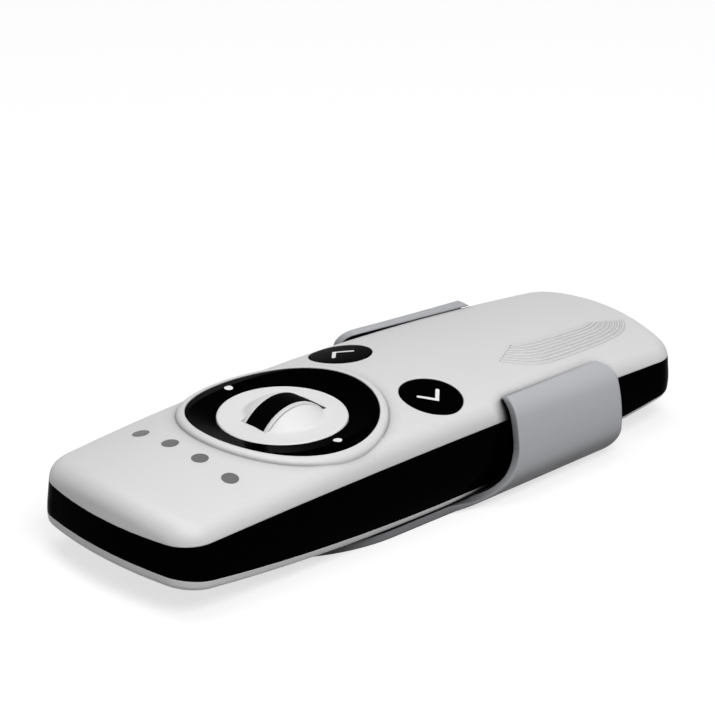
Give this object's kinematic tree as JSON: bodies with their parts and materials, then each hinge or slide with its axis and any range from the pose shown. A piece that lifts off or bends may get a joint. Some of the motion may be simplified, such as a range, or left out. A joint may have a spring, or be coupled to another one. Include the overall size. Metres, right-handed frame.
{
  "type": "wireless remote control with wall holder",
  "caption": "Slim hand-held wireless remote with a rocking control ring, pressing centre dish, thumb wheel, round keys and a light row, lying in a clip-shaped wall holder",
  "frame": {"origin": "On the flat back of the wall holder, in the middle of the whole part seen from the front", "axes": "+X across the remote, +Y along it towards the end in the clip, +Z out of its face, away from the wall"},
  "size_m": [0.0503, 0.1366, 0.0248],
  "materials": {
    "shell_grey": "fine satin",
    "holder_grey": "satin",
    "gloss_black": "polished",
    "tread_black": "matt",
    "rim_white": "satin",
    "inlay_white": "satin",
    "window_grey": "smoked, light-guiding",
    "board_green": "solder resist",
    "steel": "plain",
    "chip_black": "moulded",
    "chip_white": "moulded",
    "silicone_grey": "matt",
    "cradle_white": "as moulded"
  },
  "bodies": {
    "holder": {"wall_holder": "holder_grey"},
    "remote": {"top_shell": "shell_grey", "side_band": "gloss_black", "bottom_shell": "shell_grey", "coin_cell": "steel", "battery_contact_plus": "steel", "battery_contact_minus": "steel", "circuit_board": "board_green", "housing_screws": "steel", "controller_chip": "chip_black", "radio_chip": "chip_black", "crystal": "steel", "aerial_wire": "steel", "keypad_mat": "silicone_grey", "ring_switch_left": "chip_black", "ring_switch_right": "chip_black", "dish_switch": "chip_black", "prog_switch": "chip_black", "light_window_1": "window_grey", "light_window_2": "window_grey", "light_window_3": "window_grey", "light_window_4": "window_grey", "light_chip_1": "chip_white", "light_chip_2": "chip_white", "light_chip_3": "chip_white", "light_chip_4": "chip_white"},
    "cover": {"battery_cover": "shell_grey"},
    "ring": {"control_ring": "gloss_black", "ring_dot_left": "inlay_white", "ring_dot_right": "inlay_white"},
    "dish": {"centre_dish": "shell_grey", "wheel_cradle": "cradle_white", "wheel_axle": "steel", "encoder": "chip_black"},
    "wheel": {"wheel_hub": "rim_white", "wheel_tread": "tread_black"},
    "previous_key": {"previous_button": "gloss_black", "previous_arrow": "inlay_white"},
    "next_key": {"next_button": "gloss_black", "next_arrow": "inlay_white"},
    "prog_key": {"prog_button": "silicone_grey"}
  },
  "joints": [
    {"name": "remote_slide", "type": "slide", "parent": "holder", "child": "remote", "axis": [0, -1, 0], "range_m": [0, 0.11]},
    {"name": "battery_cover_turn", "type": "hinge", "parent": "remote", "child": "cover", "pos_m": [0, 0.0047, 0.003], "axis": [0, 0, 1], "range_deg": [0, 45]},
    {"name": "ring_rock", "type": "hinge", "parent": "remote", "child": "ring", "pos_m": [0, -0.02312, 0.01907], "axis": [0, 0.9998, 0.0212], "range_deg": [-1.3, 1.3], "stiffness_Nm_per_rad": 1.3},
    {"name": "dish_press", "type": "slide", "parent": "remote", "child": "dish", "axis": [0, 0.0212, -0.9998], "range_m": [0, 0.0005], "stiffness_N_per_m": 1500},
    {"name": "wheel_spin", "type": "hinge", "parent": "dish", "child": "wheel", "pos_m": [0, -0.02273, 0.01512], "axis": [1, 0, 0], "continuous": true},
    {"name": "previous_press", "type": "slide", "parent": "remote", "child": "previous_key", "axis": [0, 0, -1], "range_m": [0, 0.0007], "stiffness_N_per_m": 1400},
    {"name": "next_press", "type": "slide", "parent": "remote", "child": "next_key", "axis": [0, 0, -1], "range_m": [0, 0.0007], "stiffness_N_per_m": 1400},
    {"name": "prog_press", "type": "slide", "parent": "remote", "child": "prog_key", "axis": [0, 0, 1], "range_m": [0, 0.0004], "stiffness_N_per_m": 1400}
  ]
}
